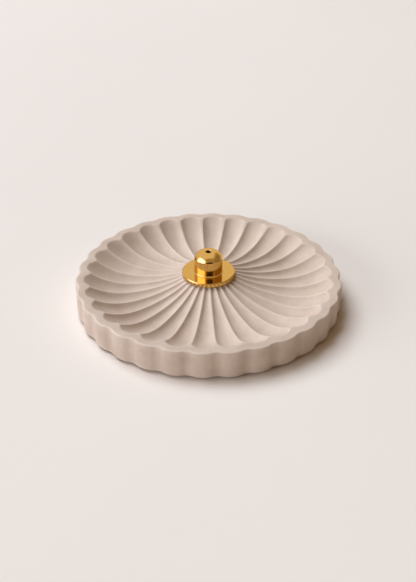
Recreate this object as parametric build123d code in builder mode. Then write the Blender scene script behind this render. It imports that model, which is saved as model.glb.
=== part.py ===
from build123d import *

import math
import os

os.makedirs("parts", exist_ok=True)

# Round incense stick holder: a fluted cast dish that catches the ash, and a brass holder that stands
# in a socket in the dish's middle and lifts out for cleaning.
# The origin is under the dish's middle, level with the soles of its feet, and +Z points up.
# All lengths are in millimetres and all angles in degrees.

# Dish, one casting with a lobe on the wall behind each flute
dish_radius = 60.0
dish_height = 12.6
flute_count = 30
lobe_valley_depth = 1.7
lobe_valley_fillet = 6.5
rim_edge_fillet = 0.7
base_edge_chamfer = 0.6

# Bowl, measured from the rim to the ridge crests between the flutes
seat_radius = 11.0
seat_rise = 0.7
trough_radius = 37.0
trough_drop = 5.3
rim_inner_radius = 53.8

# Flutes, round-bottomed grooves that widen towards the rim, where they get shallower for their width and
# the crests between them flare out
crest_width = 0.7
crest_flare = 1.1
flute_depth_share = 0.24
rim_depth_share = 0.17
flute_run_in = 1.3
flute_run_out_angle = 12.0
flute_side_share = 0.06
inner_station_shares = (1.0, 0.7, 0.35)
outer_station_shares = (0.0, 0.4, 0.75)

# Feet, rubber studs glued into shallow recesses under the dish
foot_count = 4
foot_circle_radius = 42.0
foot_first_angle = 45.0
foot_radius = 4.5
foot_stand = 1.0
foot_recess_depth = 0.8
foot_glue_gap = 0.15
foot_edge_fillet = 0.5

# Holder post, turned from round bar
post_radius = 6.3
post_wall_height = 7.1
dome_height = 2.7
dome_bulge = 0.4
crown_radius = 3.2
post_foot_flare = 0.5
post_foot_edge = 0.1
stick_hole_radius = 1.2
stick_hole_depth = 9.5
stick_hole_chamfer = 0.2

# Spigot below the post, which carries the flange plate, the nut and the grip ring
spigot_radius = 3.0
spigot_reach = 5.3
spigot_end_chamfer = 0.5
spigot_fit = 0.03

# Flange plate
flange_radius = 11.9
flange_thickness = 1.8
flange_top_chamfer = 0.3
flange_under_fillet = 0.2

# Nut that clamps the flange plate against the post's shoulder
nut_across_flats = 10.0
nut_thickness = 3.2
nut_edge_chamfer = 0.4
nut_recess_clearance = 0.6
nut_recess_headroom = 0.3

# Grip ring, a rubber ring in a groove of the spigot
ring_cord_radius = 0.5
ring_groove_depth = 0.95
ring_groove_side_gap = 0.1
ring_groove_fit = 0.05
ring_height_above_end = 2.6

# Socket sleeve, a tube bonded into the dish
sleeve_wall = 1.0
sleeve_bore_clearance = 0.15
sleeve_glue_gap = 0.1
sleeve_setback = 0.2
sleeve_mouth_chamfer = 0.4
socket_end_gap = 1.0

# One overrun for every cut that has to pass through a face
cut_overrun = 2.0

# Heights and radii that follow from the sizes above
half_pitch = 180.0 / flute_count
valley_radius = dish_radius - lobe_valley_depth
dish_base = foot_stand
rim_height = dish_base + dish_height
seat_height = rim_height + seat_rise
flange_top = seat_height + flange_thickness
shoulder_height = flange_top + post_wall_height
post_top = shoulder_height + dome_height
nut_base = seat_height - nut_thickness
spigot_end = nut_base - spigot_reach
nut_corner_radius = nut_across_flats / (2 * math.cos(math.radians(30)))
nut_recess_radius = nut_corner_radius + nut_recess_clearance
nut_recess_depth = nut_thickness + nut_recess_headroom
sleeve_bore_radius = spigot_radius + sleeve_bore_clearance
sleeve_radius = sleeve_bore_radius + sleeve_wall
socket_radius = sleeve_radius + sleeve_glue_gap
socket_floor = spigot_end - socket_end_gap
socket_depth = seat_height - socket_floor
sleeve_length = socket_depth - nut_recess_depth - sleeve_setback
ring_groove_radius = spigot_radius - ring_groove_depth
ring_centre_radius = ring_groove_radius + ring_groove_fit + ring_cord_radius
ring_height = spigot_end + ring_height_above_end
ring_groove_width = 2 * (ring_cord_radius + ring_groove_side_gap)


def on_circle(radius, angle):
    """Point at this radius and angle about the dish's axis."""
    return (radius * math.cos(math.radians(angle)), radius * math.sin(math.radians(angle)))


# The line that a ridge crest follows, with the radius as X and the height as Y: one arc falls from the
# seat's edge to the trough, a second one rises from the trough to the rim, and a run-out carries that
# on above the rim. Both arcs lie level in the trough.
with BuildLine() as crest_line:
    trough_point = (trough_radius, rim_height - trough_drop)
    inner_arc = TangentArc(trough_point, (seat_radius, seat_height), tangent=(-1, 0))
    outer_arc = TangentArc(trough_point, (rim_inner_radius, rim_height), tangent=(1, 0))
    run_out = JernArc(outer_arc @ 1, outer_arc % 1, outer_arc.radius, flute_run_out_angle)
cut_top = max((run_out @ 1).Y, seat_height) + cut_overrun

# One flute: arc sections set across the crest line, the first one run in over the seat, where the
# groove comes to nothing under the flange plate. Each station comes with its way up from the trough, as
# a share of the arc to the rim.
run_in_point = inner_arc @ 1 + (inner_arc % 1) * flute_run_in
flute_stations = [(run_in_point, 0)]
flute_stations += [(inner_arc @ share, 0) for share in inner_station_shares]
flute_stations += [(outer_arc @ share, share) for share in outer_station_shares]
flute_stations += [(run_out @ 0, 1), (run_out @ 1, 1 + run_out.length / outer_arc.length)]
with BuildPart() as flute_cutter:
    for station, way_up in flute_stations:
        crest_land = crest_width + crest_flare * way_up**3
        half_width = station.X * math.tan(math.radians(half_pitch)) - crest_land / 2
        shallower_share = (flute_depth_share - rim_depth_share) * min(way_up, 1) ** 2
        depth = (flute_depth_share - shallower_share) * 2 * half_width
        edge_angle = 2 * math.degrees(math.atan2(depth, half_width))
        arc_radius = half_width / math.sin(math.radians(edge_angle))
        side_half_width = half_width * (1 + flute_side_share)
        side_angle = math.degrees(math.asin(side_half_width / arc_radius))
        section_plane = Plane(origin=(station.X, 0, 0), x_dir=(0, 1, 0), z_dir=(1, 0, 0))
        with BuildSketch(section_plane):
            with BuildLine():
                groove = CenterArc(
                    (0, station.Y - depth + arc_radius), arc_radius, 270 - side_angle, 2 * side_angle
                )
                Polyline(
                    groove @ 1,
                    ((groove @ 1).X, cut_top),
                    ((groove @ 0).X, cut_top),
                    groove @ 0,
                )
            make_face()
    loft()

# Dish: the lobed wall, the hub that rises in its middle, the bowl, the flutes, the socket and the
# recesses for the feet.
with BuildPart() as dish:
    with BuildSketch(Plane.XY.offset(dish_base)) as dish_outline:
        with BuildLine():
            for lobe in range(flute_count):
                crest_angle = 2 * half_pitch * lobe
                ThreePointArc(
                    on_circle(valley_radius, crest_angle - half_pitch),
                    on_circle(dish_radius, crest_angle),
                    on_circle(valley_radius, crest_angle + half_pitch),
                )
        make_face()
        fillet(dish_outline.vertices(), lobe_valley_fillet)
    extrude(amount=dish_height)
    fillet(dish.faces().sort_by(Axis.Z)[-1].edges(), rim_edge_fillet)
    chamfer(dish.faces().sort_by(Axis.Z)[0].edges(), base_edge_chamfer)
    with BuildSketch(Plane.XY.offset(rim_height)):
        Circle(trough_radius)
    extrude(amount=seat_rise)
    with BuildSketch(Plane.XZ):
        with BuildLine():
            add(crest_line.line)
            Polyline(
                run_out @ 1,
                ((run_out @ 1).X, cut_top),
                (0, cut_top),
                (0, seat_height),
                inner_arc @ 1,
            )
        make_face()
    revolve(axis=Axis.Z, mode=Mode.SUBTRACT)
    with PolarLocations(0, flute_count):
        add(flute_cutter.part, mode=Mode.SUBTRACT)
    with Locations((0, 0, seat_height)):
        CounterBoreHole(socket_radius, nut_recess_radius, nut_recess_depth, socket_depth)
    with BuildSketch(Plane.XY.offset(dish_base)):
        with PolarLocations(foot_circle_radius, foot_count, start_angle=foot_first_angle):
            Circle(foot_radius + foot_glue_gap)
    extrude(amount=foot_recess_depth, mode=Mode.SUBTRACT)
dish.part.label = "dish"
export_step(dish.part, "parts/dish.step")

# Socket sleeve: a plain tube with an eased mouth, standing on the socket's floor.
with BuildPart() as socket_sleeve:
    with BuildSketch(Plane.XY.offset(socket_floor)):
        Circle(sleeve_radius)
        Circle(sleeve_bore_radius, mode=Mode.SUBTRACT)
    extrude(amount=sleeve_length)
    chamfer(socket_sleeve.faces().sort_by(Axis.Z)[-1].inner_wires().edges(), sleeve_mouth_chamfer)
socket_sleeve.part.label = "socket_sleeve"
export_step(socket_sleeve.part, "parts/socket_sleeve.step")

# Holder post: a turned profile with a domed top and a flared foot, a spigot below it and the stick's hole.
with BuildPart() as holder_post:
    with BuildSketch(Plane.XZ):
        with BuildLine():
            Polyline(
                (0, spigot_end),
                (spigot_radius - spigot_end_chamfer, spigot_end),
                (spigot_radius, spigot_end + spigot_end_chamfer),
                (spigot_radius, flange_top),
                (post_radius + post_foot_flare, flange_top),
                (post_radius + post_foot_flare, flange_top + post_foot_edge),
            )
            foot_top = (post_radius, flange_top + post_foot_edge + post_foot_flare)
            TangentArc(foot_top, (post_radius + post_foot_flare, flange_top + post_foot_edge), tangent=(0, -1))
            Line(foot_top, (post_radius, shoulder_height))
            SagittaArc((post_radius, shoulder_height), (crown_radius, post_top), -dome_bulge)
            Polyline((crown_radius, post_top), (0, post_top), (0, spigot_end))
        make_face()
    revolve(axis=Axis.Z)
    with BuildSketch(Plane.XY.offset(ring_height - ring_groove_width / 2)):
        Circle(spigot_radius + cut_overrun)
        Circle(ring_groove_radius, mode=Mode.SUBTRACT)
    extrude(amount=ring_groove_width, mode=Mode.SUBTRACT)
    with Locations((0, 0, post_top)):
        Hole(stick_hole_radius, depth=stick_hole_depth)
    chamfer(holder_post.faces().sort_by(Axis.Z)[-1].inner_wires().edges(), stick_hole_chamfer)
holder_post.part.label = "holder_post"
export_step(holder_post.part, "parts/holder_post.step")

# Flange plate: a turned disc with a bright chamfer round its top edge.
with BuildPart() as flange_plate:
    with BuildSketch(Plane.XY.offset(seat_height)):
        Circle(flange_radius)
    extrude(amount=flange_thickness)
    chamfer(flange_plate.faces().sort_by(Axis.Z)[-1].edges(), flange_top_chamfer)
    fillet(flange_plate.faces().sort_by(Axis.Z)[0].edges(), flange_under_fillet)
    with Locations((0, 0, flange_top)):
        Hole(spigot_radius + spigot_fit)
flange_plate.part.label = "flange_plate"
export_step(flange_plate.part, "parts/flange_plate.step")

# Flange nut: a thin hexagon nut with its lower edges eased.
with BuildPart() as flange_nut:
    with BuildSketch(Plane.XY.offset(nut_base)):
        RegularPolygon(nut_across_flats / 2, 6, major_radius=False)
    extrude(amount=nut_thickness)
    chamfer(flange_nut.faces().sort_by(Axis.Z)[0].edges(), nut_edge_chamfer)
    with Locations((0, 0, seat_height)):
        Hole(spigot_radius + spigot_fit)
flange_nut.part.label = "flange_nut"
export_step(flange_nut.part, "parts/flange_nut.step")

# Grip ring: a round rubber cord closed into a ring.
with BuildPart() as grip_ring:
    with BuildSketch(Plane.XZ):
        with Locations((ring_centre_radius, ring_height)):
            Circle(ring_cord_radius)
    revolve(axis=Axis.Z)
grip_ring.part.label = "grip_ring"
export_step(grip_ring.part, "parts/grip_ring.step")

# Feet: round studs with an eased sole, each seated against the ceiling of its recess.
for number in range(1, foot_count + 1):
    foot_angle = foot_first_angle + 360.0 / foot_count * (number - 1)
    with BuildPart() as foot:
        with BuildSketch(Plane.XY):
            with Locations(on_circle(foot_circle_radius, foot_angle)):
                Circle(foot_radius)
        extrude(amount=foot_stand + foot_recess_depth)
        fillet(foot.faces().sort_by(Axis.Z)[0].edges(), foot_edge_fillet)
    foot.part.label = f"foot_{number}"
    export_step(foot.part, f"parts/foot_{number}.step")
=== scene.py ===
import bmesh
import bpy
import numpy as np
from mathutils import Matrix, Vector


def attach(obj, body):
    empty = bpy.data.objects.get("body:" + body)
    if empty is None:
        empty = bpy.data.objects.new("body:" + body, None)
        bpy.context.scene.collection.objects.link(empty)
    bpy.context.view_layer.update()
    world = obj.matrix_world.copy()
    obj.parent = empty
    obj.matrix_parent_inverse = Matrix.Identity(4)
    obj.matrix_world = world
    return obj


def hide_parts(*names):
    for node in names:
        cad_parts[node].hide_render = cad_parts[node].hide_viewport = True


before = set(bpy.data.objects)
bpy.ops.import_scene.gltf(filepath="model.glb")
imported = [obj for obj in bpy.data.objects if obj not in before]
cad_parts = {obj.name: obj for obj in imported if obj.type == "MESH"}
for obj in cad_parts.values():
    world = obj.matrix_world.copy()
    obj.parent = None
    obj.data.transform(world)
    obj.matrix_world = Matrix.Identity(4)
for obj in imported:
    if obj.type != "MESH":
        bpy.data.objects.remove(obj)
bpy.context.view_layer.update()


# Dish
# One thick casting of pigmented stone mix, poured face down into a fluted mould and rubbed smooth.
# Every flute of the bowl has a lobe of the outer wall behind it; the socket in the hub and the four
# foot recesses are cast in. All sizes below are in millimetres, and mesh_from turns them into metres.
MILLIMETRE = 0.001

flute_count = 30
half_pitch = np.pi / flute_count
crest_land = 0.7
crest_flare = 1.1
crest_softness = 0.22
rim_softness = 0.45
hub_depth_share = 0.36
flute_depth_share = 0.27
rim_depth_share = 0.19
flute_power = 2.4

dish_radius = 60.0
valley_radius = 58.3
valley_fillet = 6.5
dish_base = 1.0
base_chamfer = 0.6
rim_height = 13.6
rim_rounding = 0.7
rim_inner_radius = 53.8
trough_radius = 37.0
trough_height = 8.3
seat_radius = 11.0
seat_height = 14.3

socket_radius = 4.25
socket_floor = 4.8
nut_recess_radius = 6.37
nut_recess_floor = 10.8
nut_recess_break = 0.1
foot_circle = 42.0
foot_recess_radius = 4.65
foot_recess_top = 1.8


def mesh_from(name, grids, sharp_degrees=40.0, merge_distance=2e-7):
    """Object made of closed strips of quads. Each grid is an array of rows by columns by 3: neighbouring
    rows are joined column by column, the last column is joined to the first, and points that coincide,
    such as a row shrunk to a pole, are merged."""
    points, faces, first = [], [], 0
    for grid in grids:
        rows, columns = grid.shape[:2]
        index = first + np.arange(rows * columns).reshape(rows, columns)
        beside = np.roll(index, -1, axis=1)
        faces.append(np.stack([index[:-1], index[1:], beside[1:], beside[:-1]], axis=-1).reshape(-1, 4))
        points.append(grid.reshape(-1, 3))
        first += rows * columns
    mesh = bpy.data.meshes.new(name)
    mesh.from_pydata(np.concatenate(points) * MILLIMETRE, [], np.concatenate(faces).tolist())
    work = bmesh.new()
    work.from_mesh(mesh)
    bmesh.ops.remove_doubles(work, verts=work.verts, dist=merge_distance)
    bmesh.ops.dissolve_degenerate(work, edges=work.edges, dist=merge_distance / 20)
    work.to_mesh(mesh)
    work.free()
    mesh.polygons.foreach_set("use_smooth", np.ones(len(mesh.polygons), dtype=bool))
    mesh.set_sharp_from_angle(angle=np.radians(sharp_degrees))
    made = bpy.data.objects.new(name, mesh)
    bpy.context.scene.collection.objects.link(made)
    return made


inner_reach = trough_radius - seat_radius
inner_fall = seat_height - trough_height
inner_bend = (inner_reach**2 + inner_fall**2) / (2 * inner_fall)
outer_reach = rim_inner_radius - trough_radius
outer_rise = rim_height - trough_height
outer_bend = (outer_reach**2 + outer_rise**2) / (2 * outer_rise)
outer_limit_share = 0.92


def crest_height(radius):
    """Height of the ridge crests: an arc that falls from the seat's edge to the trough and one that rises
    from there to the rim, both level in the trough, and a straight line on past the seat's edge."""
    off = np.clip(radius - trough_radius, -inner_reach, outer_limit_share * outer_bend)
    bend = np.where(off < 0, inner_bend, outer_bend)
    arc = bend - np.sqrt(bend**2 - off**2)
    slope = inner_reach / np.sqrt(inner_bend**2 - inner_reach**2)
    return trough_height + arc + slope * np.maximum(seat_radius - radius, 0)


def climbed(radius):
    """Way up from the trough to the rim, as a share of that arc's angle: 0 in the trough, 1 at the rim."""
    sine = np.clip((radius - trough_radius) / outer_bend, 0, outer_limit_share)
    return np.arcsin(sine) / np.arcsin(outer_reach / outer_bend)


def groove_half_width(radius):
    """Half of a flute's width: half a pitch less half of the land on the crest, which flares out with the
    cube of the way up."""
    full = radius * np.tan(half_pitch)
    return np.maximum(full - (crest_land + crest_flare * climbed(radius) ** 3) / 2, full / 2)


flute_limit_share = 1.5


def flute_height(radius, across):
    """Height of a flute's floor at this radius and this sideways distance from its middle: it hangs
    between the two crests, nearly flat in the middle and climbing with a power of the distance. Its depth
    is a share of its width that falls evenly from the hub to the trough, and from there with the square of
    the way up."""
    half = groove_half_width(radius)
    shallower = (flute_depth_share - rim_depth_share) * np.minimum(climbed(radius), 1) ** 2
    inward = np.clip((trough_radius - radius) / inner_reach, 0, 1)
    depth = 2 * (flute_depth_share + (hub_depth_share - flute_depth_share) * inward - shallower) * half
    sideways = np.minimum(across / half, flute_limit_share)
    return crest_height(radius) - depth * (1 - sideways**flute_power)


def soft_lower(first, second, softness):
    """The lower of two heights, with the crease where they meet rounded over that height difference."""
    near = np.maximum(softness - np.abs(first - second), 0) / softness
    return np.minimum(first, second) - near**2 * softness / 4


seat_search, rim_search, halvings = (7.0, 13.0), (45.0, 58.0), 40


def radius_where(height, bounds, share):
    """Radius between two bounds at which a flute's floor crosses a height, found by halving, for points
    at these shares of the flute's half width."""
    low, high = np.full_like(share, bounds[0]), np.full_like(share, bounds[1])
    rising = flute_height(high, share * groove_half_width(high)) > height
    for _ in range(halvings):
        middle = (low + high) / 2
        above = flute_height(middle, share * groove_half_width(middle)) > height
        high = np.where(above == rising, middle, high)
        low = np.where(above == rising, low, middle)
    return (low + high) / 2


# Columns: across one flute their shares of its half width crowd towards the crests. Three more columns run
# along the land beyond the flute's edge, at shares of half its width, and the last one is its middle.
half_flute_columns = 14
half_shares = np.sin(np.pi / 2 * np.linspace(0, 1, half_flute_columns))
flute_columns = np.concatenate([[-1.0], -half_shares[:0:-1], half_shares, [1.0, 1.0]])
land_columns = np.zeros(len(flute_columns))
land_columns[[0, -2, -1]] = -0.4, 0.4, 1.0
share, land_share = np.tile(flute_columns, flute_count), np.tile(land_columns, flute_count)
flute_angle = np.repeat(2 * half_pitch * np.arange(flute_count), len(flute_columns))


def turned_to(radius):
    """Angle of every column at these radii, about the dish and about the middle of its flute: a share of
    the flute's half width, and then a share of the land's."""
    edge = np.arctan2(groove_half_width(radius), radius)
    off = share * edge + land_share * (half_pitch - edge)
    return flute_angle + off, off


def at(radius, angle, height):
    """Points of one row from radius, angle and height."""
    radius, angle, height = np.broadcast_arrays(radius, angle, height)
    return np.stack([radius * np.cos(angle), radius * np.sin(angle), height], axis=-1)


def bowl_row(radius, ceiling):
    """One row of the bowl: the flute's floor, softly cut by the crest and by the flat above it."""
    angle, off = turned_to(radius)
    floor = flute_height(radius, np.abs(radius * np.sin(off)))
    crest = soft_lower(floor, crest_height(radius), crest_softness)
    return at(radius, angle, soft_lower(crest, ceiling, rim_softness))


def outline():
    """Outer wall's plan: an arc for each lobe through its two valleys and its crown, and a fillet in each
    valley, as points with their outward normals."""
    angle, off = turned_to(np.full_like(share, rim_inner_radius))
    side = np.abs(off)
    sagitta = dish_radius - valley_radius * np.cos(half_pitch)
    chord = valley_radius * np.sin(half_pitch)
    lobe = (chord**2 + sagitta**2) / (2 * sagitta)
    lobe_centre = dish_radius - lobe
    reach = np.sqrt((lobe + valley_fillet) ** 2 - (lobe_centre * np.sin(half_pitch)) ** 2)
    fillet_centre = lobe_centre * np.cos(half_pitch) + reach
    on_lobe = lobe_centre * np.cos(side) + np.sqrt(lobe**2 - (lobe_centre * np.sin(side)) ** 2)
    turn = half_pitch - side
    dip = np.maximum(valley_fillet**2 - (fillet_centre * np.sin(turn)) ** 2, 0)
    on_fillet = fillet_centre * np.cos(turn) - np.sqrt(dip)
    touch = np.arctan2(fillet_centre * np.sin(half_pitch), fillet_centre * np.cos(half_pitch) - lobe_centre)
    touch_angle = np.arctan2(lobe * np.sin(touch), lobe_centre + lobe * np.cos(touch))
    in_valley = side > touch_angle
    points = at(np.where(in_valley, on_fillet, on_lobe), angle, 0.0)
    middle = at(lobe_centre, flute_angle, 0.0)
    valley = at(fillet_centre, flute_angle + np.where(off < 0, -half_pitch, half_pitch), 0.0)
    out = np.where(in_valley[:, None], (valley - points) / valley_fillet, (points - middle) / lobe)
    return points, out


wall, outward = outline()


def wall_row(inset, height):
    """One row that follows the outer wall's plan, moved inwards along its normals."""
    row = wall - outward * inset
    row[:, 2] = height
    return row


def flat_row(radius, height):
    """One round row at a set radius and height."""
    return at(radius, turned_to(np.full_like(share, radius))[0], height)


# Socket and nut recess, from the middle of the socket's floor up to the seat round the recess.
rows = [flat_row(socket_radius * step, socket_floor) for step in (0.0, 0.5, 1.0)]
rows += [flat_row(socket_radius, socket_floor + (nut_recess_floor - socket_floor) * step)
         for step in (0.2, 0.6, 1.0)]
recess_top = seat_height - nut_recess_break
rows += [flat_row(nut_recess_radius, nut_recess_floor + (recess_top - nut_recess_floor) * step)
         for step in (0.0, 0.5, 1.0)]
seat_start, seat_row = nut_recess_radius + nut_recess_break, 7.5
rows += [flat_row(radius, seat_height) for radius in (seat_start, seat_row)]

# Bowl, from the seat's edge along the flutes to the rim. The rows crowd where a flute meets either flat.
seat_edge = radius_where(seat_height, seat_search, np.abs(share))
rim_edge = radius_where(rim_height, rim_search, np.abs(share))
seat_gaps, rim_gaps = (1.5, 0.6, 0.25), (0.12, 0.25, 0.4, 0.6)
first_steps, last_steps = [0.0, 0.008, 0.02], [0.95, 0.965, 0.977, 0.986, 0.993, 1.0]
along = np.concatenate([first_steps, np.linspace(0.04, 0.93, 38), last_steps])
rows += [bowl_row(seat_edge - gap, seat_height) for gap in seat_gaps]
rows += [bowl_row(seat_edge + (rim_edge - seat_edge) * step, seat_height if step < 0.5 else rim_height)
         for step in along]
rows += [bowl_row(rim_edge + gap, rim_height) for gap in rim_gaps]

# Rim, its rounded edge, the lobed wall, the chamfer under it and the outer part of the underside.
bowl_end, rim_flat_end = rows[-1], wall_row(rim_rounding, rim_height)
rows += [bowl_end + (rim_flat_end - bowl_end) * step for step in (0.35, 0.7)]
rows += [wall_row(rim_rounding * (1 - np.sin(turn)), rim_height - rim_rounding * (1 - np.cos(turn)))
         for turn in np.radians([0, 12, 26, 40, 54, 68, 80, 90])]
wall_low, wall_high = dish_base + base_chamfer, rim_height - rim_rounding
rows += [wall_row(0.0, wall_low + (wall_high - wall_low) * step) for step in (0.8, 0.6, 0.4, 0.2, 0.05, 0.0)]
rows += [wall_row(base_chamfer * step, dish_base + base_chamfer * (1 - step)) for step in (0.15, 0.85, 1.0)]
under_radius = 56.0
rows += [flat_row(under_radius, dish_base)]
dish_grids = [np.stack(rows)]

# The underside is four sectors of plane, each drawn in from its edge to the foot recess in its middle.
under_edge = rows[-1]
under_middle = np.array([0.0, 0.0, dish_base])
recess_depth = np.array([0.0, 0.0, foot_recess_top - dish_base])
spoke = np.linspace(0, 1, 24)[:, None]
under_angle = np.arctan2(under_edge[:, 1], under_edge[:, 0])
quarter_starts = [int(np.argmin(np.abs(np.angle(np.exp(1j * (under_angle - turn))))))
                  for turn in np.pi / 2 * np.arange(5)]
for quarter in range(4):
    start, end = quarter_starts[quarter], quarter_starts[quarter + 1]
    last = end if end > start else end + len(under_edge)
    arc = under_edge[np.arange(start, last + 1) % len(under_edge)]
    out_spoke = under_middle + (arc[0] - under_middle) * spoke[:-1]
    in_spoke = under_middle + (arc[-1] - under_middle) * spoke[-2:0:-1]
    edge = np.concatenate([out_spoke, arc, in_spoke])
    foot_place = at(foot_circle, np.pi / 4 + np.pi / 2 * quarter, dish_base)
    ray = (edge - foot_place) / np.linalg.norm(edge - foot_place, axis=1, keepdims=True)
    recess = foot_place + ray * foot_recess_radius
    drawn_in = [edge + (recess - edge) * step for step in (0.0, 0.4, 0.7, 0.9, 1.0)]
    drawn_in += [foot_place + (recess - foot_place) * step + recess_depth for step in (1.0, 0.5, 0.0)]
    dish_grids.append(np.stack(drawn_in))

dish = mesh_from("fluted_dish", dish_grids)


# Painted highlight: pale lines painted on the stone along the crests, the flute ends and the wall's top and
# bottom edges, where the light catches them.
crest_highlight_width, end_highlight_width, edge_highlight_width, highlight_reach = 0.55, 0.5, 0.4, 1.2


def painted_highlight_share(points):
    """How strongly each point gets the painted highlight, from 0 to 1: most along the crests, along the edge
    where each flute runs out into the rim, and along the wall's top and bottom edges, falling off as a bell
    curve with the distance from those lines."""
    radius = np.maximum(np.hypot(points[:, 0], points[:, 1]), seat_radius)
    angle, height = np.arctan2(points[:, 1], points[:, 0]), points[:, 2]
    off = np.abs((angle + half_pitch) % (2 * half_pitch) - half_pitch)
    across = np.minimum(off / np.arctan2(groove_half_width(radius), radius), 1)
    from_crest = radius * np.sin(half_pitch - off)
    from_end = radius - radius_where(rim_height, rim_search, across)
    wall_angle, wall_radius = np.arctan2(wall[:, 1], wall[:, 0]), np.hypot(wall[:, 0], wall[:, 1])
    inset = np.interp(angle, wall_angle, wall_radius, period=2 * np.pi) - radius
    in_bowl = (height > crest_height(radius) - highlight_reach) & (radius > seat_radius)
    crests = np.exp(-(from_crest / crest_highlight_width) ** 2) * (radius < rim_inner_radius) * in_bowl
    ends = np.exp(-(from_end / end_highlight_width) ** 2) * in_bowl
    top = np.exp(-((inset - rim_rounding / 2) / edge_highlight_width) ** 2) * (height > rim_height - rim_rounding)
    bottom = np.exp(-((height - dish_base - base_chamfer / 2) / edge_highlight_width) ** 2) * (inset < 2 * base_chamfer)
    return np.maximum.reduce([crests, ends, top, bottom])


# Each point's share of the painted highlight, kept on the dish as an attribute for the stone's colour.
dish_points = np.empty(3 * len(dish.data.vertices))
dish.data.vertices.foreach_get("co", dish_points)
painted_highlight = dish.data.attributes.new("painted_highlight", "FLOAT", "POINT")
painted_highlight.data.foreach_set("value", painted_highlight_share(dish_points.reshape(-1, 3) / MILLIMETRE))


def add_node(tree, kind, inputs, **settings):
    """One shader node, with its settings made and its numbered or named inputs filled in or linked."""
    node = tree.nodes.new(kind)
    for key, value in settings.items():
        setattr(node, key, value)
    for key, value in inputs.items():
        if isinstance(value, bpy.types.NodeSocket):
            tree.links.new(value, node.inputs[key])
        else:
            node.inputs[key].default_value = value
    return node


def mixed(tree, factor, first, second, blend="MIX"):
    """Colour of the second blended over the first by the factor."""
    node = add_node(tree, "ShaderNodeMix", {}, data_type="RGBA", blend_type=blend)
    sockets = {s.identifier: s for s in node.inputs}
    for key, value in (("Factor_Float", factor), ("A_Color", first), ("B_Color", second)):
        if isinstance(value, bpy.types.NodeSocket):
            tree.links.new(value, sockets[key])
        else:
            sockets[key].default_value = value
    return next(s for s in node.outputs if s.identifier == "Result_Color")


def effect_group(name, inputs, outputs):
    """An empty shader node group with these inputs and outputs; returns it with its two end nodes."""
    group = bpy.data.node_groups.new(name, "ShaderNodeTree")
    for label, kind, value in inputs:
        made = group.interface.new_socket(label, in_out="INPUT", socket_type=kind)
        if value is not None:
            made.default_value = value
    for label, kind in outputs:
        group.interface.new_socket(label, in_out="OUTPUT", socket_type=kind)
    return group, group.nodes.new("NodeGroupInput"), group.nodes.new("NodeGroupOutput")


# Fine grain: the sandy tooth of a cast or moulded matt surface and the much larger clouds in its tone, used
# for the stone and for the rubber.
cloud_scale_share = 0.06
grain_group, grain_in, grain_out = effect_group(
    "fine_grain",
    [("Position", "NodeSocketVector", None), ("Scale", "NodeSocketFloat", 900.0)],
    [("Grain", "NodeSocketFloat"), ("Cloud", "NodeSocketFloat")],
)
grain_noise = add_node(grain_group, "ShaderNodeTexNoise", inputs={
    "Vector": grain_in.outputs["Position"], "Scale": grain_in.outputs["Scale"],
    "Detail": 6.0, "Roughness": 0.7})
cloud_scale = add_node(grain_group, "ShaderNodeMath", operation="MULTIPLY", inputs={
    0: grain_in.outputs["Scale"], 1: cloud_scale_share})
cloud_noise = add_node(grain_group, "ShaderNodeTexNoise", inputs={
    "Vector": grain_in.outputs["Position"], "Scale": cloud_scale.outputs[0],
    "Detail": 4.0, "Roughness": 0.6})
grain_group.links.new(grain_noise.outputs["Fac"], grain_out.inputs["Grain"])
grain_group.links.new(cloud_noise.outputs["Fac"], grain_out.inputs["Cloud"])


def empty_material(name):
    """A node material holding a Principled shader; returns the material, its tree and that shader."""
    material = bpy.data.materials.new(name)
    material.use_nodes = True
    tree = material.node_tree
    tree.nodes.clear()
    shader = tree.nodes.new("ShaderNodeBsdfPrincipled")
    end = tree.nodes.new("ShaderNodeOutputMaterial")
    tree.links.new(shader.outputs["BSDF"], end.inputs["Surface"])
    return material, tree, shader


def ramp(tree, value, stops):
    """A colour ramp on a value, from (place, colour) stops."""
    node = add_node(tree, "ShaderNodeValToRGB", inputs={"Fac": value})
    node.color_ramp.elements.remove(node.color_ramp.elements[1])
    for number, (place, colour) in enumerate(stops):
        stop = node.color_ramp.elements[0] if number == 0 else node.color_ramp.elements.new(place)
        stop.position = place
        stop.color = (*colour, 1.0)
    return node.outputs["Color"]


def placed(tree):
    """Object coordinates of the piece."""
    return tree.nodes.new("ShaderNodeTexCoord").outputs["Object"]


# Cast stone: warm grey beige in soft clouds, with painted highlights in a paler colour along its crests and
# edges, a fine grain, and a few pinholes left by air bubbles with painted shade in them.
stone_dark = (0.598, 0.474, 0.388)
stone_mid = (0.64, 0.514, 0.424)
stone_pale = (0.676, 0.551, 0.459)
stone_highlight_colour = (0.8, 0.678, 0.58)
painted_highlight_strength = 0.55
fleck_strength = 0.5
pinhole_shade_colour = (0.26, 0.19, 0.14)
pinhole_depth = 1.5
stone, tree, shader = empty_material("cast_stone")
where = placed(tree)
grain = add_node(tree, "ShaderNodeGroup", {}, node_tree=grain_group)
tree.links.new(where, grain.inputs["Position"])
grain.inputs["Scale"].default_value = 1400.0
clouds = ramp(tree, grain.outputs["Cloud"], [(0.36, stone_dark), (0.5, stone_mid), (0.64, stone_pale)])
fleck = ramp(tree, grain.outputs["Grain"], [(0.3, (0.86, 0.85, 0.84)), (0.55, (1.0, 1.0, 1.0))])
# The painted highlight: the stone's colour mixed towards a paler one along the crests and edges.
highlight_mask = add_node(tree, "ShaderNodeAttribute", {}, attribute_name="painted_highlight")
highlight_share = add_node(tree, "ShaderNodeMath", operation="MULTIPLY", inputs={
    0: highlight_mask.outputs["Fac"], 1: painted_highlight_strength})
highlighted = mixed(tree, highlight_share.outputs[0], clouds, (*stone_highlight_colour, 1.0))
tinted = mixed(tree, fleck_strength, highlighted, fleck, "MULTIPLY")
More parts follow.
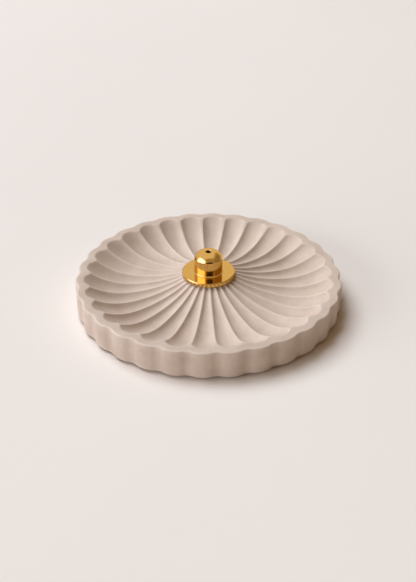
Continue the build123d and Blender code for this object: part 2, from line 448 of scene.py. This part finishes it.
# Pinholes: small bubble holes in the bump, with painted shade in them in a dark colour.
bubbles = add_node(tree, "ShaderNodeTexVoronoi", inputs={"Vector": where, "Scale": 95.0, "Randomness": 1.0})
pinholes = add_node(tree, "ShaderNodeMapRange", interpolation_type="SMOOTHSTEP", inputs={
    "Value": bubbles.outputs["Distance"], "From Min": 0.01, "From Max": 0.028, "To Min": 1.0, "To Max": 0.0})
pitted = mixed(tree, pinholes.outputs["Result"], tinted, (*pinhole_shade_colour, 1.0))
tree.links.new(pitted, shader.inputs["Base Color"])
tooth = add_node(tree, "ShaderNodeMapRange", inputs={
    "Value": grain.outputs["Grain"], "From Min": 0.25, "From Max": 0.75, "To Min": 0.82, "To Max": 0.95})
tree.links.new(tooth.outputs["Result"], shader.inputs["Roughness"])
relief = add_node(tree, "ShaderNodeMath", operation="MULTIPLY_ADD", inputs={
    0: pinholes.outputs["Result"], 1: -pinhole_depth, 2: grain.outputs["Grain"]})
stone_bump = add_node(tree, "ShaderNodeBump", inputs={
    "Strength": 0.35, "Distance": 0.00012, "Height": relief.outputs[0]})
tree.links.new(stone_bump.outputs["Normal"], shader.inputs["Normal"])
shader.inputs["Specular IOR Level"].default_value = 0.25

dish.data.materials.append(stone)
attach(dish, "dish")
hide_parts("dish")


# Socket sleeve
# A short brass tube, turned on a lathe with a chamfer in its mouth, bonded into the dish's hub so that
# the holder's spigot has a smooth place to stand.
leg_hold = 0.04


def eased(corners, radii, steps=5):
    """Path of (radius, height) points through corners, each rounded by an arc that touches both legs. A
    point on each leg close to the arc keeps the rest of that leg flat when the surface is shaded."""
    corners = np.array(corners, dtype=float)
    path = [corners[:1]]
    for before, corner, after, radius in zip(corners[:-2], corners[1:-1], corners[2:], radii):
        if radius == 0:
            path.append(corner[None])
            continue
        back = (before - corner) / np.linalg.norm(before - corner)
        ahead = (after - corner) / np.linalg.norm(after - corner)
        half = np.arccos(np.clip(back @ ahead, -1, 1)) / 2
        centre = corner + (back + ahead) / np.linalg.norm(back + ahead) * radius / np.sin(half)
        first = corner + back * radius / np.tan(half) - centre
        last = corner + ahead * radius / np.tan(half) - centre
        sweep = np.pi - 2 * half
        part = np.linspace(0, 1, steps)[:, None]
        arc = centre + (np.sin((1 - part) * sweep) * first + np.sin(part * sweep) * last) / np.sin(sweep)
        path += [arc[:1] + back * leg_hold, arc, arc[-1:] + ahead * leg_hold]
    path.append(corners[-1:])
    return np.concatenate(path)


def lathe(path, columns=128, middle=(0.0, 0.0)):
    """Surface of revolution: the (radius, height) path carried round an upright axis."""
    angle = 2 * np.pi * np.arange(columns) / columns
    radius, height = np.array(path)[:, 0, None], np.array(path)[:, 1, None]
    grid = at(radius, angle[None], height)
    grid[..., :2] += np.array(middle)
    return grid


sleeve_bore, sleeve_radius, sleeve_top, sleeve_mouth, sleeve_easing = 3.15, 4.15, 10.6, 0.4, 0.08
sleeve_middle = (socket_floor + sleeve_top) / 2
sleeve_path = eased(
    [(sleeve_bore, sleeve_middle), (sleeve_bore, sleeve_top - sleeve_mouth),
     (sleeve_bore + sleeve_mouth, sleeve_top), (sleeve_radius, sleeve_top), (sleeve_radius, socket_floor),
     (sleeve_bore, socket_floor), (sleeve_bore, sleeve_middle)],
    [sleeve_easing] * 5)
socket_sleeve = mesh_from("bonded_sleeve", [lathe(sleeve_path)])

# Turning marks: fine rings left by the lathe about the upright axis, with smudges from handling. Both
# brass finishes use them.
marks_group, marks_in, marks_out = effect_group(
    "turning_marks",
    [("Position", "NodeSocketVector", None), ("Rings", "NodeSocketFloat", 4000.0)],
    [("Rings", "NodeSocketFloat"), ("Smudge", "NodeSocketFloat")],
)
split = add_node(marks_group, "ShaderNodeSeparateXYZ", inputs={0: marks_in.outputs["Position"]})
level = add_node(marks_group, "ShaderNodeCombineXYZ", inputs={0: split.outputs[0], 1: split.outputs[1]})
reach = add_node(marks_group, "ShaderNodeVectorMath", operation="LENGTH", inputs={0: level.outputs[0]})
lathe_place = add_node(marks_group, "ShaderNodeCombineXYZ", inputs={
    0: reach.outputs["Value"], 1: split.outputs[2]})
ring_noise = add_node(marks_group, "ShaderNodeTexNoise", inputs={
    "Vector": lathe_place.outputs[0], "Scale": marks_in.outputs["Rings"], "Detail": 3.0, "Roughness": 0.6})
smudge_noise = add_node(marks_group, "ShaderNodeTexNoise", inputs={
    "Vector": marks_in.outputs["Position"], "Scale": 220.0, "Detail": 5.0, "Roughness": 0.65})
marks_group.links.new(ring_noise.outputs["Fac"], marks_out.inputs["Rings"])
marks_group.links.new(smudge_noise.outputs["Fac"], marks_out.inputs["Smudge"])


def brass_material(name, colours, roughness, bump_strength, rings):
    """Metal with a colour that drifts a little with the smudges, turning marks in the normal, and a
    roughness range."""
    material, tree, shader = empty_material(name)
    marks = add_node(tree, "ShaderNodeGroup", {}, node_tree=marks_group)
    tree.links.new(placed(tree), marks.inputs["Position"])
    marks.inputs["Rings"].default_value = rings
    tree.links.new(ramp(tree, marks.outputs["Smudge"], [(0.35, colours[0]), (0.65, colours[1])]),
                   shader.inputs["Base Color"])
    dull = add_node(tree, "ShaderNodeMapRange", inputs={
        "Value": marks.outputs["Smudge"], "From Min": 0.3, "From Max": 0.7,
        "To Min": roughness[0], "To Max": roughness[1]})
    tree.links.new(dull.outputs["Result"], shader.inputs["Roughness"])
    bump = add_node(tree, "ShaderNodeBump", inputs={
        "Strength": bump_strength, "Distance": 0.00002, "Height": marks.outputs["Rings"]})
    tree.links.new(bump.outputs["Normal"], shader.inputs["Normal"])
    shader.inputs["Metallic"].default_value = 1.0
    shader.inputs["Specular Tint"].default_value = (0.95, 0.8, 0.55, 1.0)
    return material


turned_brass = brass_material(
    "turned_brass", colours=((0.68, 0.46, 0.17), (0.74, 0.52, 0.21)), roughness=(0.28, 0.4),
    bump_strength=0.3, rings=5000.0)
socket_sleeve.data.materials.append(turned_brass)
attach(socket_sleeve, "dish")
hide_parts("socket_sleeve")


# Feet
# Four moulded rubber studs with a rounded sole, glued into the recesses under the dish so that it stands
# just clear of the table and doesn't slide.
foot_radius, foot_rounding, foot_top_easing = 4.5, 0.5, 0.15
foot_path = eased(
    [(0.0, foot_recess_top), (foot_radius, foot_recess_top), (foot_radius, 0.0), (0.0, 0.0)],
    [foot_top_easing, foot_rounding])
rubber_dark, rubber_pale = (0.022, 0.021, 0.02), (0.04, 0.038, 0.036)
rubber, tree, shader = empty_material("moulded_rubber")
grain = add_node(tree, "ShaderNodeGroup", {}, node_tree=grain_group)
tree.links.new(placed(tree), grain.inputs["Position"])
grain.inputs["Scale"].default_value = 1800.0
tree.links.new(ramp(tree, grain.outputs["Cloud"], [(0.35, rubber_dark), (0.65, rubber_pale)]),
               shader.inputs["Base Color"])
matt = add_node(tree, "ShaderNodeMapRange", inputs={
    "Value": grain.outputs["Grain"], "From Min": 0.25, "From Max": 0.75, "To Min": 0.6, "To Max": 0.8})
tree.links.new(matt.outputs["Result"], shader.inputs["Roughness"])
rubber_bump = add_node(tree, "ShaderNodeBump", inputs={
    "Strength": 0.25, "Distance": 0.0001, "Height": grain.outputs["Grain"]})
tree.links.new(rubber_bump.outputs["Normal"], shader.inputs["Normal"])
for number in range(4):
    stud_angle = np.pi / 4 + np.pi / 2 * number
    stud_place = (foot_circle * np.cos(stud_angle), foot_circle * np.sin(stud_angle))
    foot = mesh_from(f"rubber_stud_{number + 1}", [lathe(foot_path, columns=64, middle=stud_place)])
    foot.data.materials.append(rubber)
    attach(foot, "dish")
    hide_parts(f"foot_{number + 1}")


# Holder post
# Brass bar turned to a post with a domed top, drilled for the stick, and polished to a mirror. Below its
# shoulder a spigot carries the flange plate, the nut and the grip ring.
post_radius, crown_radius = 6.3, 3.2
flange_top, shoulder_height, post_top = 16.1, 23.2, 25.9
dome_bulge, foot_flare, foot_edge, foot_easing = 0.4, 0.5, 0.1, 0.03
hole_radius, hole_floor, hole_floor_easing = 1.2, 16.4, 0.1
hole_chamfer, hole_easing = 0.2, 0.05
spigot_radius, spigot_end, spigot_chamfer, spigot_easing = 3.0, 5.8, 0.5, 0.05
groove_radius, groove_low, groove_high = 2.05, 7.8, 9.0


def bulged(start, end, bulge, steps):
    """Arc from start to end that stands off its chord by the bulge, on the side away from the axis."""
    start, end = np.array(start, dtype=float), np.array(end, dtype=float)
    chord = end - start
    half = np.linalg.norm(chord) / 2
    radius = (half**2 + bulge**2) / (2 * bulge)
    off = np.array([chord[1], -chord[0]]) / (2 * half)
    centre = (start + end) / 2 - off * (radius - bulge)
    first, last = start - centre, end - centre
    sweep = 2 * np.arcsin(half / radius)
    part = np.linspace(0, 1, steps)[:, None]
    return centre + (np.sin((1 - part) * sweep) * first + np.sin(part * sweep) * last) / np.sin(sweep)


hole_path = eased(
    [(0.0, hole_floor), (hole_radius, hole_floor), (hole_radius, post_top - hole_chamfer),
     (hole_radius + hole_chamfer, post_top), (crown_radius, post_top)],
    [hole_floor_easing, hole_easing, hole_easing])
dome_path = bulged((post_radius, shoulder_height), (crown_radius, post_top), dome_bulge, steps=14)[::-1]
wall_foot = flange_top + foot_edge + foot_flare
wall_steps = np.stack([np.full(8, post_radius), np.linspace(shoulder_height, wall_foot, 8)], axis=1)
foot_turn = np.radians(np.linspace(0, 90, 9))
flare_path = np.stack([post_radius + foot_flare * (1 - np.cos(foot_turn)),
                       wall_foot - foot_flare * np.sin(foot_turn)], axis=1)
spigot_path = eased(
    [(post_radius + foot_flare, flange_top + foot_edge), (post_radius + foot_flare, flange_top),
     (spigot_radius, flange_top), (spigot_radius, groove_high), (groove_radius, groove_high),
     (groove_radius, groove_low), (spigot_radius, groove_low), (spigot_radius, spigot_end + spigot_chamfer),
     (spigot_radius - spigot_chamfer, spigot_end), (0.0, spigot_end)],
    [foot_easing] + [spigot_easing] * 7)
post_path = np.concatenate([hole_path[:-1], dome_path, wall_steps[1:], flare_path[1:], spigot_path[1:]])
holder_post = mesh_from("domed_post", [lathe(post_path)], sharp_degrees=14.0)
polished_brass = brass_material(
    "polished_brass", colours=((0.75, 0.455, 0.12), (0.79, 0.49, 0.145)), roughness=(0.08, 0.15),
    bump_strength=0.12, rings=3200.0)
holder_post.data.materials.append(polished_brass)
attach(holder_post, "holder")
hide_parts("holder_post")


# Flange plate
# A turned and polished brass disc with a bright chamfer round its top edge. It lies on the dish's hub and
# is clamped between the post's shoulder and the nut.
flange_radius, flange_chamfer, chamfer_easing, flange_under = 11.9, 0.3, 0.06, 0.2
bore_clearance = 0.03
flange_bore, flange_middle = spigot_radius + bore_clearance, (flange_top + seat_height) / 2
flange_path = eased(
    [(flange_bore, flange_middle), (flange_bore, flange_top), (flange_radius - flange_chamfer, flange_top),
     (flange_radius, flange_top - flange_chamfer), (flange_radius, seat_height), (flange_bore, seat_height),
     (flange_bore, flange_middle)],
    [0.0, chamfer_easing, chamfer_easing, flange_under, 0.0])
flange_plate = mesh_from("polished_flange", [lathe(flange_path, columns=160)], sharp_degrees=30.0)
flange_plate.data.materials.append(polished_brass)
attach(flange_plate, "holder")
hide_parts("flange_plate")


# Flange nut
# A thin brass hexagon nut with its lower edges eased, run up the spigot against the flange plate and
# hidden in the recess of the hub.
nut_flat, nut_base, nut_easing, nut_break, nut_columns = 5.0, 11.1, 0.4, 0.05, 96
nut_middle = (nut_base + seat_height) / 2
nut_angle = 2 * np.pi * np.arange(nut_columns) / nut_columns
to_flat = np.abs((nut_angle + np.pi / 6) % (np.pi / 3) - np.pi / 6)
hexagon = 1 / np.cos(to_flat)


def nut_row(flat, height):
    """One row round the nut: a hexagon of this half width across flats."""
    return at(flat * hexagon, nut_angle, height)


nut_rows = [at(flange_bore, nut_angle, nut_middle), at(flange_bore, nut_angle, seat_height),
            nut_row(nut_flat - nut_break, seat_height), nut_row(nut_flat, seat_height - nut_break),
            nut_row(nut_flat, nut_base + nut_easing), nut_row(nut_flat - nut_easing, nut_base),
            at(flange_bore, nut_angle, nut_base), at(flange_bore, nut_angle, nut_middle)]
flange_nut = mesh_from("hexagon_nut", [np.stack(nut_rows)], sharp_degrees=25.0)
flange_nut.data.materials.append(turned_brass)
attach(flange_nut, "holder")
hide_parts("flange_nut")


# Grip ring
# A moulded rubber ring stretched into the spigot's groove, which holds the holder lightly in the sleeve.
ring_radius, ring_cord, ring_height = 2.6, 0.5, 8.4
ring_turn = np.linspace(np.pi, -np.pi, 33)
ring_path = np.stack([ring_radius + ring_cord * np.cos(ring_turn),
                      ring_height + ring_cord * np.sin(ring_turn)], axis=1)
grip_ring = mesh_from("rubber_ring", [lathe(ring_path, columns=96)])
grip_ring.data.materials.append(rubber)
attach(grip_ring, "grip_ring")
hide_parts("grip_ring")


# Studio
# A plain pale floor, a large soft lamp behind the object on the left, a lower one on its left, a weak warm
# fill, cards seen only in reflections, and the camera at the photograph's angle. None of it belongs to the
# object, and its sizes are in metres.
camera_turn = np.radians(-3.7)


def studio_direction(turn, tilt):
    """Direction from the object to a point seen at this angle round it from the camera's right, and at
    this angle above the table, in degrees."""
    turn, tilt = np.radians(turn) + camera_turn, np.radians(tilt)
    return Vector((np.cos(turn) * np.cos(tilt), np.sin(turn) * np.cos(tilt), np.sin(tilt)))


floor_radius, floor_corners = 1.5, 96
round_floor = [(floor_radius * np.cos(turn), floor_radius * np.sin(turn), 0.0)
               for turn in 2 * np.pi * np.arange(floor_corners) / floor_corners]
floor_mesh = bpy.data.meshes.new("floor")
floor_mesh.from_pydata(round_floor, [], [tuple(range(floor_corners))])
floor = bpy.data.objects.new("floor", floor_mesh)
bpy.context.scene.collection.objects.link(floor)
floor_paint, tree, shader = empty_material("pale_floor")
floor_cloud = add_node(tree, "ShaderNodeTexNoise", inputs={
    "Vector": placed(tree), "Scale": 3.0, "Detail": 3.0})
floor_dark, floor_pale = (0.852, 0.783, 0.732), (0.878, 0.807, 0.754)
tree.links.new(ramp(tree, floor_cloud.outputs["Fac"], [(0.3, floor_dark), (0.7, floor_pale)]),
               shader.inputs["Base Color"])
shader.inputs["Roughness"].default_value = 0.9
shader.inputs["Specular IOR Level"].default_value = 0.1
floor.data.materials.append(floor_paint)


def soft_lamp(name, turn, tilt, distance, width, height, watts, colour):
    """An area lamp that faces the object from that direction. Reflections show the cards below instead of
    the lamp."""
    data = bpy.data.lights.new(name, "AREA")
    data.shape = "RECTANGLE"
    data.size, data.size_y = width, height
    data.energy = watts
    data.color = colour
    lamp = bpy.data.objects.new(name, data)
    bpy.context.scene.collection.objects.link(lamp)
    towards = studio_direction(turn, tilt)
    lamp.location = towards * distance
    lamp.rotation_euler = towards.to_track_quat("Z", "Y").to_euler()
    lamp.visible_glossy = False


soft_lamp("key_lamp", turn=143.0, tilt=60.0, distance=4.8, width=3.2, height=3.2,
          watts=230.0, colour=(0.85, 0.917, 1.0))
soft_lamp("side_lamp", turn=208.0, tilt=18.0, distance=4.8, width=4.16, height=2.24,
          watts=123.0, colour=(0.865, 0.935, 1.0))


def glowing_reflection_card(name, turn, tilt, distance, half_width, half_height, tone, core=0.6):
    """A card that glows in its own mottled tone though it is no lamp, seen only in reflections and facing
    the object from that direction; the glow paints what the metal reflects there and fades out from its
    core, a share of its size, to its edges. Its half sizes are for a distance of one metre."""
    place = studio_direction(turn, tilt)
    side = Vector((0, 0, 1)).cross(place).normalized() * half_width
    rise = place.cross(side).normalized() * half_height
    steps = (-1.0, -core, core, 1.0)
    points = [(place + x * side + y * rise) * distance for y in steps for x in steps]
    inside = [float(max(abs(x), abs(y)) < 1) for y in steps for x in steps]
    starts = [len(steps) * y + x for y in range(len(steps) - 1) for x in range(len(steps) - 1)]
    faces = [(first, first + 1, first + len(steps) + 1, first + len(steps)) for first in starts]
    mesh = bpy.data.meshes.new(name)
    mesh.from_pydata(points, [], faces)
    mesh.attributes.new("cover", "FLOAT", "POINT").data.foreach_set("value", inside)
    card = bpy.data.objects.new(name, mesh)
    bpy.context.scene.collection.objects.link(card)
    paint, tree, shader = empty_material(name)
    glow_mottle = add_node(tree, "ShaderNodeTexNoise", inputs={"Vector": placed(tree), "Scale": 6.0, "Detail": 4.0})
    darker, paler = (tuple(shade * value for value in tone) for shade in (0.8, 1.2))
    mottled = ramp(tree, glow_mottle.outputs["Fac"], [(0.3, darker), (0.7, paler)])
    tree.links.new(mottled, shader.inputs["Emission Color"])
    cover = add_node(tree, "ShaderNodeAttribute", {}, attribute_name="cover")
    tree.links.new(cover.outputs["Fac"], shader.inputs["Alpha"])
    shader.inputs["Base Color"].default_value = (0.0, 0.0, 0.0, 1.0)
    shader.inputs["Specular IOR Level"].default_value = 0.0
    shader.inputs["Emission Strength"].default_value = 1.0
    card.data.materials.append(paint)
    card.visible_camera = card.visible_diffuse = card.visible_shadow = False


# Glowing cards that paint the reflections on the brass: dark and mid-toned ones round the camera side and
# the right, and a bright window card that paints the broad highlight on the dome.
glowing_reflection_card("camera_card", turn=281.0, tilt=29.0, distance=0.9, half_width=0.58,
            half_height=0.22, tone=(0.025, 0.018, 0.012))
glowing_reflection_card("horizon_card", turn=335.0, tilt=7.0, distance=0.8, half_width=1.1,
            half_height=0.16, tone=(0.05, 0.036, 0.022))
glowing_reflection_card("front_card", turn=285.0, tilt=56.0, distance=1.4, half_width=0.8,
            half_height=0.45, tone=(0.42, 0.33, 0.2), core=0.4)
glowing_reflection_card("right_card", turn=5.0, tilt=32.0, distance=1.2, half_width=1.5,
            half_height=0.65, tone=(0.33, 0.25, 0.14), core=0.4)
glowing_reflection_card("far_card", turn=150.0, tilt=4.0, distance=0.9, half_width=0.35,
            half_height=0.1, tone=(0.05, 0.036, 0.022))
glowing_reflection_card("window_card", turn=205.0, tilt=27.0, distance=1.3, half_width=0.68,
            half_height=0.5, tone=(2.7, 3.0, 5.2))

world = bpy.data.worlds.new("studio")
bpy.context.scene.world = world
world.use_nodes = True
tree = world.node_tree
tree.nodes.clear()
path = tree.nodes.new("ShaderNodeLightPath")
mirrored = add_node(tree, "ShaderNodeMath", operation="MAXIMUM", inputs={
    0: path.outputs["Is Glossy Ray"], 1: path.outputs["Is Transmission Ray"]})
seen = add_node(tree, "ShaderNodeMath", operation="MAXIMUM", inputs={
    0: path.outputs["Is Camera Ray"], 1: mirrored.outputs[0]})
fill = add_node(tree, "ShaderNodeBackground", inputs={"Color": (1.0, 0.68, 0.36, 1.0), "Strength": 0.172})
backdrop = add_node(tree, "ShaderNodeBackground", inputs={"Color": (0.86, 0.8, 0.765, 1.0), "Strength": 1.0})
choice = add_node(tree, "ShaderNodeMixShader", inputs={
    0: seen.outputs[0], 1: fill.outputs[0], 2: backdrop.outputs[0]})
add_node(tree, "ShaderNodeOutputWorld", inputs={"Surface": choice.outputs[0]})

camera_tilt, camera_distance = np.radians(32.71), 0.430
aim_right, aim_height = -0.00016, 0.00501
camera_data = bpy.data.cameras.new("camera")
camera_data.sensor_width = 36.0
camera_data.lens = 58.1
camera = bpy.data.objects.new("camera", camera_data)
bpy.context.scene.collection.objects.link(camera)
aim = Vector((aim_right * np.cos(camera_turn), aim_right * np.sin(camera_turn), aim_height))
back = Vector((np.sin(camera_turn) * np.cos(camera_tilt), -np.cos(camera_turn) * np.cos(camera_tilt),
               np.sin(camera_tilt)))
camera.location = aim + back * camera_distance
camera.rotation_euler = back.to_track_quat("Z", "Y").to_euler()
bpy.context.scene.camera = camera
bpy.context.scene.view_settings.view_transform = "Standard"
